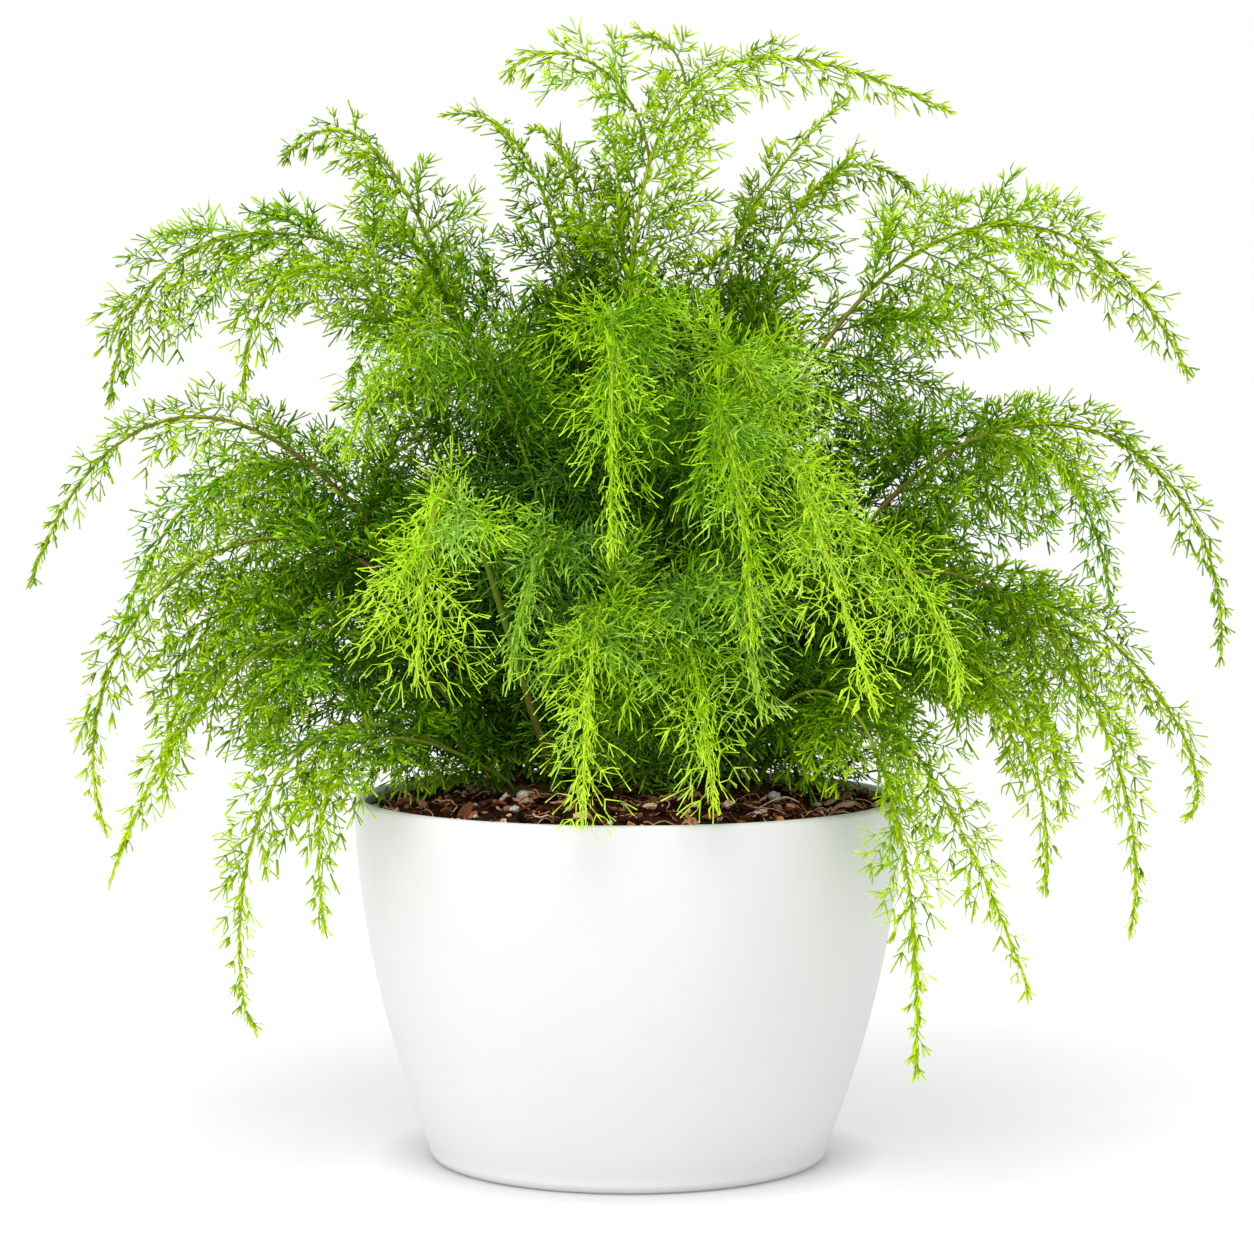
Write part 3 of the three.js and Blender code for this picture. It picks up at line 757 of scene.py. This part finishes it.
def cloud(tree, scale, detail, **inputs):
    """A noise pattern that is fixed to the object."""
    place = tree.nodes.new("ShaderNodeTexCoord")
    pattern = tree.nodes.new("ShaderNodeTexNoise")
    set_inputs(pattern, Scale=scale, Detail=detail, **inputs)
    tree.links.new(place.outputs["Object"], pattern.inputs["Vector"])
    return pattern.outputs["Fac"]


def ramp(tree, value, stops):
    """A colour for each value, from stops of place and colour."""
    node = tree.nodes.new("ShaderNodeValToRGB")
    elements = node.color_ramp.elements
    while len(elements) < len(stops):
        elements.new(0.5)
    for element, (place, colour) in zip(elements, stops):
        element.position = place
        element.color = (*colour, 1)
    tree.links.new(value, node.inputs["Fac"])
    return node.outputs["Color"]


def bump(tree, shader, value, strength, distance):
    node = tree.nodes.new("ShaderNodeBump")
    set_inputs(node, Strength=strength, Distance=distance)
    tree.links.new(value, node.inputs["Height"])
    tree.links.new(node.outputs["Normal"], shader.inputs["Normal"])


OLIVE = [(0.0, (0.010, 0.036, 0.001)), (0.3, (0.058, 0.154, 0.001)), (0.55, (0.195, 0.36, 0.002)),
         (0.8, (0.43, 0.64, 0.004)), (1.0, (0.63, 0.80, 0.03))]
GREEN = [(0.0, (0.008, 0.036, 0.001)), (0.3, (0.044, 0.155, 0.003)), (0.55, (0.150, 0.37, 0.004)),
         (0.8, (0.36, 0.68, 0.006)), (1.0, (0.58, 0.87, 0.045))]
BLUE = [(0.0, (0.010, 0.045, 0.010)), (0.5, (0.12, 0.31, 0.045)), (1.0, (0.50, 0.78, 0.18))]
WOOD = [(0.0, (0.06, 0.024, 0.012)), (0.22, (0.15, 0.062, 0.024)), (0.42, (0.20, 0.145, 0.035)),
        (0.62, (0.16, 0.22, 0.022)), (0.85, (0.46, 0.56, 0.05)), (1.0, (0.66, 0.76, 0.10))]

# The casts over which one set of colours gives way to the next
CASTS = ((0.02, 0.16, GREEN), (0.2, 0.5, BLUE), (0.5, 0.6, WOOD))


def foliage_material():
    """Colour is a function of the two values that each point holds, tone and cast."""
    made, tree, shader = material("foliage", Roughness=0.5, Specular_IOR_Level=0.025)
    tone, cast = point_value(tree, "tone"), point_value(tree, "cast")
    colour = ramp(tree, tone, OLIVE)
    for start, end, stops in CASTS:
        share = tree.nodes.new("ShaderNodeMapRange")
        set_inputs(share, From_Min=start, From_Max=end)
        tree.links.new(cast, share.inputs["Value"])
        both = tree.nodes.new("ShaderNodeMix")
        both.data_type = "RGBA"
        tree.links.new(share.outputs["Result"], both.inputs["Factor"])
        tree.links.new(colour, both.inputs["A"])
        tree.links.new(ramp(tree, tone, stops), both.inputs["B"])
        colour = both.outputs["Result"]
    tree.links.new(colour, shader.inputs["Base Color"])
    return made


def pot_material():
    """White moulded plastic with a soft sheen and a barely uneven surface."""
    made, tree, shader = material("pot_white")
    pattern = cloud(tree, 14, 4)
    colour = ramp(tree, pattern, [(0.3, (0.735, 0.735, 0.73)), (0.7, (0.765, 0.765, 0.765))])
    tree.links.new(colour, shader.inputs["Base Color"])
    sheen = tree.nodes.new("ShaderNodeMapRange")
    set_inputs(sheen, To_Min=0.36, To_Max=0.48)
    tree.links.new(pattern, sheen.inputs["Value"])
    tree.links.new(sheen.outputs["Result"], shader.inputs["Roughness"])
    bump(tree, shader, cloud(tree, 900, 3), 0.04, 0.0002)
    return made


def earth_material(name, dark, light, scale):
    """Damp bark and peat: mottled brown with a rough, broken surface."""
    made, tree, shader = material(name, Roughness=0.85, Specular_IOR_Level=0.05)
    mottle = cloud(tree, scale, 6, Roughness=0.7)
    tree.links.new(ramp(tree, mottle, [(0.3, dark), (0.7, light)]), shader.inputs["Base Color"])
    bump(tree, shader, mottle, 0.7, 0.0006)
    return made


def bark_material():
    """Bark and coir, from near black to pale brown by each piece's own tone, with the darkest stops
    as painted shade and the palest as painted highlight.
    """
    made, tree, shader = material("bark", Roughness=0.8, Specular_IOR_Level=0.06)
    grain = cloud(tree, 1100, 4)
    both = tree.nodes.new("ShaderNodeMix")
    set_inputs(both, Factor=0.6)
    tree.links.new(grain, both.inputs["A"])
    tree.links.new(point_value(tree, "tone"), both.inputs["B"])
    # Painted shade and painted highlight: the near-black and the palest stops reach past the bark's
    # own colours, for the contrast that the soft light under the fronds leaves out
    colour = ramp(tree, both.outputs["Result"], [
        (0.22, (0.003, 0.001, 0.001)), (0.42, (0.032, 0.012, 0.006)), (0.56, (0.24, 0.085, 0.034)),
        (0.68, (0.74, 0.35, 0.17)), (0.82, (0.95, 0.70, 0.50))])
    tree.links.new(colour, shader.inputs["Base Color"])
    bump(tree, shader, grain, 0.6, 0.0004)
    return made


def perlite_material():
    """Chalky white grains, pitted and a little stained by the mix."""
    made, tree, shader = material("perlite", Roughness=0.9)
    pits = cloud(tree, 900, 5)
    colour = ramp(tree, pits, [(0.3, (0.30, 0.22, 0.18)), (0.5, (0.66, 0.62, 0.58)),
                               (0.8, (0.85, 0.84, 0.82))])
    tree.links.new(colour, shader.inputs["Base Color"])
    bump(tree, shader, pits, 0.8, 0.0005)
    return made


def sweep_material():
    """A pale studio floor that glows more away from the middle, so that it ends in plain white. Its
    glow nearly stops round the planter's foot as a painted contact shadow, and its rise out to a
    third of a metre is painted light that keeps the plant's shadow close to the pot.
    """
    made, tree, shader = material("floor_white", Base_Color=(0.45, 0.45, 0.45, 1), Roughness=0.6,
                                  Specular_IOR_Level=0.2, Emission_Color=(1, 1, 1, 1))
    place = tree.nodes.new("ShaderNodeTexCoord")
    distance = tree.nodes.new("ShaderNodeVectorMath")
    distance.operation = "LENGTH"
    tree.links.new(place.outputs["Object"], distance.inputs["Vector"])
    scale = tree.nodes.new("ShaderNodeMath")
    scale.operation = "MULTIPLY"
    scale.inputs[1].default_value = 2.5
    tree.links.new(distance.outputs["Value"], scale.inputs[0])
    # Painted contact shadow where the glow nearly stops round the planter's foot; painted light
    # where it rises out to a third of a metre
    steps = ((0.135, 0.08), (0.15, 0.28), (0.19, 0.48), (0.32, 0.52), (0.45, 0.58), (0.8, 0.66))
    floor_glow_and_painted_shadow = ramp(tree, scale.outputs["Value"], [(at, (level,) * 3) for at, level in steps])
    tree.links.new(floor_glow_and_painted_shadow, shader.inputs["Emission Strength"])
    return made


# Planter

def arc(middle, radius, start, end, count):
    """Points on part of a circle, between two angles in degrees."""
    angles = np.radians(np.linspace(start, end, count))
    return [(middle[0] + radius * math.cos(a), middle[1] + radius * math.sin(a)) for a in angles]


def build_pot():
    """The planter, turned in one piece: foot, outer wall, rounded lip, inner wall and floor."""
    lip = WALL / 2
    lip_height = POT_HEIGHT - lip
    foot = arc((FOOT_RADIUS, FOOT_ROUNDING), FOOT_ROUNDING, -90, -12, 8)
    outer = [(pot_radius(z), z) for z in np.linspace(FOOT_ROUNDING, lip_height, 40)]
    edge = arc((pot_radius(lip_height) - lip, lip_height), lip, 12, 168, 14)
    inner = [(pot_radius(z) - WALL, z) for z in np.linspace(lip_height, FLOOR, 24)]
    profile = [(0, 0), *foot, *outer, *edge, *inner, (0, FLOOR)]
    pot = new_object("pot_shell", *lathe(profile, POT_SEGMENTS))
    dress(pot, pot_material(), "pot")


# Potting mix

def clod(x, y, scale, seed):
    """Uneven height of loose stuff, with lumps of about the size of scale."""
    return noise.fractal(Vector((x / scale, y / scale, seed)), 0.9, 2.1, 4)


def surface_height(x, y):
    distance = math.hypot(x, y)
    lumps = 1.6 * clod(x, y, 9.0, 3.1) + 1.0 * clod(x, y, 2.8, 8.4)
    near_wall = min(1.0, (RIM_RADIUS - distance) / 12)
    return mix_height(distance) + lumps * max(near_wall, 0.3)


def scattered(rng, count, radius):
    """Places spread evenly over the mix."""
    distance = radius * np.sqrt(rng.random(count))
    angle = rng.uniform(0, TURN, count)
    return np.stack([distance * np.cos(angle), distance * np.sin(angle)], 1)


def build_mix():
    """One mound with an uneven top, which fills the planter."""
    edge = pot_radius(MIX_EDGE_HEIGHT) - WALL - MIX_FIT
    angles = ring_angles(MIX_SEGMENTS)
    verts = [(0, 0, surface_height(0, 0))]
    for radius in np.linspace(0, edge, MIX_RINGS)[1:]:
        for angle in angles:
            x, y = radius * math.cos(angle), radius * math.sin(angle)
            verts.append((x, y, surface_height(x, y)))
    for z in MIX_LOW_RINGS:
        radius = pot_radius(z) - WALL - MIX_FIT
        verts.extend((radius * math.cos(angle), radius * math.sin(angle), z) for angle in angles)
    verts.append((0, 0, MIX_LOW_RINGS[-1]))
    rows = MIX_RINGS - 1 + len(MIX_LOW_RINGS)
    mix = new_object("mix_body", verts, ring_faces(rows, MIX_SEGMENTS)[:, ::-1])
    # The earth's near-black colour is the dark peat, darkened further as painted shade of the gaps
    # between the chips
    finish = earth_material("earth", (0.003, 0.0015, 0.001), (0.09, 0.032, 0.014), 500)
    dress(mix, finish, "potting_mix")


def turned_basis(yaw, pitch, roll):
    """For each of many loose pieces, the unit vectors along it and across it."""
    cy, sy, cp, sp = np.cos(yaw), np.sin(yaw), np.cos(pitch), np.sin(pitch)
    along = np.stack([cy * cp, sy * cp, sp], 1)
    flat = np.stack([-sy, cy, np.zeros_like(yaw)], 1)
    up = np.cross(along, flat)
    return along, flat * np.cos(roll)[:, None] + up * np.sin(roll)[:, None]


def build_chips(finish):
    """Flakes of bark, each an uneven slab with eight corners round its edge."""
    rng = np.random.default_rng(CHIP_SEED)
    count, corners = 760, 8
    places = scattered(rng, count, 74.5)
    height = np.array([surface_height(x, y) for x, y in places])
    along, aside = turned_basis(rng.uniform(0, TURN, count), rng.normal(0, 0.42, count),
                                rng.normal(0, 0.5, count))
    up = np.cross(along, aside)
    length = rng.uniform(1.4, 3.2, count) ** 1.8
    width = length * rng.uniform(0.35, 0.75, count)
    depth = rng.uniform(0.4, 1.1, count)
    middle = np.column_stack([places, height + depth * 0.35])
    angles = ring_angles(corners)
    rough = rng.uniform(0.65, 1.15, (count, corners))
    shift = rng.normal(0, 0.12, (2, count, corners))
    verts = []
    for side, (level, size) in enumerate(((-1, 0.82), (1, 1.0))):
        a = np.cos(angles) * rough * size * (length / 2)[:, None]
        b = np.sin(angles) * rough * size * (width / 2)[:, None]
        c = (level * depth / 2)[:, None] + shift[side]
        verts.append(middle[:, None] + a[..., None] * along[:, None] + b[..., None] * aside[:, None]
                     + c[..., None] * up[:, None])
    verts = np.concatenate(verts, 1).reshape(-1, 3)
    here = np.arange(corners)
    after = (here + 1) % corners
    first = np.zeros(corners - 2, int)
    one = np.concatenate([
        np.stack([here, after, corners + after], 1),
        np.stack([here, corners + after, corners + here], 1),
        corners + np.stack([first, here[1:-1], here[2:]], 1),
        np.stack([first, here[2:], here[1:-1]], 1),
    ])
    faces = (one + (np.arange(count) * 2 * corners)[:, None, None]).reshape(-1, 3)
    chips = new_object("mix_bark", verts, faces, smooth=False)
    add_values(chips, tone=np.repeat(rng.random(count), 2 * corners))
    dress(chips, finish)


def build_fibres(finish):
    """Coir: thin curled strands that lie on and among the bark."""
    rng = np.random.default_rng(FIBRE_SEED)
    count, points, reach = 520, 8, 74.0
    places = scattered(rng, count, reach - 1)
    length = rng.uniform(5, 17, count)
    heading = rng.uniform(0, TURN, count)
    curl = rng.normal(0, 0.13, count)
    lines = np.empty((count, points, 3))
    for i in range(count):
        angle, (x, y) = heading[i], places[i]
        step = length[i] / (points - 1)
        arch = rng.uniform(0.3, 2.2)
        for k in range(points):
            hold = min(1.0, reach / max(math.hypot(x, y), 1))
            x, y = x * hold, y * hold
            lift = arch * math.sin(math.pi * k / (points - 1))
            lines[i, k] = (x, y, surface_height(x, y) + 0.35 + lift)
            x, y = x + step * math.cos(angle), y + step * math.sin(angle)
            angle += curl[i] * step + rng.normal(0, 0.12)
    growth = Growth()
    radii = np.broadcast_to(rng.uniform(0.13, 0.3, (count, 1)), (count, points))
    growth.tubes(lines, radii, 3, rng.random((count, 1)), STEM_CAST)
    fibres = new_object("mix_fibres", np.concatenate(growth.verts), np.concatenate(growth.faces))
    add_values(fibres, tone=np.concatenate(growth.tone))
    dress(fibres, finish)


def grain_mesh(rng, size, middle, subdivisions):
    """An uneven rounded lump of a given half length."""
    mesh = bmesh.new()
    bmesh.ops.create_icosphere(mesh, subdivisions=subdivisions, radius=1.0)
    stretch = np.array([1.0, rng.uniform(0.7, 0.95), rng.uniform(0.55, 0.8)]) * size
    offset = Vector(rng.uniform(-50, 50, 3))
    angle = rng.uniform(0, TURN)
    verts = []
    for vert in mesh.verts:
        swell = (1 + 0.34 * noise.noise(vert.co * 1.3 + offset)
                 + 0.12 * noise.noise(vert.co * 3.4 + offset))
        x, y, z = np.array(vert.co) * stretch * swell
        verts.append((middle[0] + x * math.cos(angle) - y * math.sin(angle),
                      middle[1] + x * math.sin(angle) + y * math.cos(angle), middle[2] + z))
    faces = [[v.index for v in face.verts] for face in mesh.faces]
    mesh.free()
    return np.array(verts), np.array(faces)


def build_perlite():
    """The larger grains, where their solids are, and many small crumbs between them."""
    rng = np.random.default_rng(PERLITE_SEED)
    finish = perlite_material()
    for node in (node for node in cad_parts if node.startswith("perlite_")):
        low, high = (np.array(corner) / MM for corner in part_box(node))
        half_length = (high - low).max() / 2 * 1.05
        grain = new_object(node + "_grain", *grain_mesh(rng, half_length, (low + high) / 2, 3))
        dress(grain, finish, node)
    verts, faces, count = [], [], 0
    for x, y in scattered(rng, 90, 74):
        size = rng.uniform(0.4, 1.15)
        middle = (x, y, surface_height(x, y) + 0.5 * size + 0.3)
        points, corners = grain_mesh(rng, size, middle, 2)
        verts.append(points)
        faces.append(corners + count)
        count += len(points)
    crumbs = new_object("perlite_crumbs", np.concatenate(verts), np.concatenate(faces))
    dress(crumbs, finish)


def build_crown():
    """A woody knot, uneven, with a swelling where each stem leaves it."""
    feet = np.array([look["foot"] for look in FRONDS], float)
    verts = [(*CROWN_MIDDLE, CROWN_TOP)]
    for row in range(1, CROWN_RINGS + 1):
        share = row / CROWN_RINGS
        level = CROWN_TOP - CROWN_DEPTH * max(0.0, (share - 0.7) / 0.3) ** 1.4
        for angle in ring_angles(CROWN_SEGMENTS):
            turn_x, turn_y = math.cos(angle), math.sin(angle)
            wobble = 0.06 * noise.noise(Vector((turn_x * 2, turn_y * 2, share)))
            swell = min(share / 0.8, 1) * (1 + wobble)
            x = CROWN_MIDDLE[0] + CROWN_HALF[0] * swell * turn_x
            y = CROWN_MIDDLE[1] + CROWN_HALF[1] * swell * turn_y
            nearest = np.hypot(feet[:, 0] - x, feet[:, 1] - y).min()
            knob = 2.4 * math.exp(-(nearest / 3.2) ** 2) * (share < 0.85)
            lumps = 0.9 * clod(x, y, 6.0, 5.5) * (share < 0.9)
            verts.append((x, y, level - 0.6 + knob + lumps))
    verts.append((*CROWN_MIDDLE, CROWN_TOP - CROWN_DEPTH - 0.5))
    faces = ring_faces(CROWN_RINGS, CROWN_SEGMENTS)[:, ::-1]
    crown = new_object("crown_body", verts, faces)
    finish = earth_material("crown", (0.03, 0.02, 0.008), (0.13, 0.09, 0.03), 300)
    dress(crown, finish, "root_crown")


def build_foliage():
    finish = foliage_material()
    for number, look in enumerate(FRONDS):
        piece = grow(look, FROND_SEED + number).finish(look["name"] + "_growth")
        dress(piece, finish, look["name"])


# Studio

def build_studio():
    """A wide pale floor, a white sky that is dimmer overhead, and two soft lights."""
    corners = [(x * FLOOR_HALF, y * FLOOR_HALF, 0) for x, y in ((-1, -1), (1, -1), (1, 1), (-1, 1))]
    floor = new_object("floor", corners, [[0, 1, 2, 3]], smooth=False)
    floor.data.materials.append(sweep_material())
    world = bpy.data.worlds.new("studio")
    bpy.context.scene.world = world
    world.use_nodes = True
    nodes, links = world.node_tree.nodes, world.node_tree.links
    background = nodes["Background"]
    set_inputs(background, Color=(1, 1, 1, 1))
    direction = nodes.new("ShaderNodeTexCoord")
    parts = nodes.new("ShaderNodeSeparateXYZ")
    links.new(direction.outputs["Generated"], parts.inputs["Vector"])
    dome = nodes.new("ShaderNodeMapRange")
    set_inputs(dome, From_Min=0.3, From_Max=0.6, To_Min=1.0, To_Max=0.5)
    links.new(parts.outputs["Z"], dome.inputs["Value"])
    links.new(dome.outputs["Result"], background.inputs["Strength"])
    add_area("key", (-160, -750, 1300), (0, 0, 150), 700, 14)
    add_area("side", (-1300, -500, 250), (0, 0, 100), 800, 3.8)


def add_area(name, place, target, size, watts):
    """A square area light at a place, turned to a target."""
    light = bpy.data.lights.new(name, "AREA")
    light.energy = watts
    light.size = size * MM
    obj = bpy.data.objects.new(name, light)
    bpy.context.collection.objects.link(obj)
    place = Vector(place) * MM
    obj.location = place
    obj.rotation_euler = (Vector(target) * MM - place).to_track_quat("-Z", "Y").to_euler()


def build_camera():
    data = bpy.data.cameras.new("camera")
    data.lens = LENS
    data.sensor_width = SENSOR
    camera = bpy.data.objects.new("camera", data)
    bpy.context.collection.objects.link(camera)
    camera.location = Vector(CAMERA_PLACE) * MM
    camera.rotation_euler = (math.radians(90 - CAMERA_PITCH), 0, 0)
    data.clip_end = CAMERA_FAR_METRES
    bpy.context.scene.camera = camera


build_camera()
build_studio()
build_pot()
build_mix()
bark = bark_material()
build_chips(bark)
build_fibres(bark)
build_perlite()
build_crown()
build_foliage()
bpy.context.scene.view_settings.view_transform = "Standard"
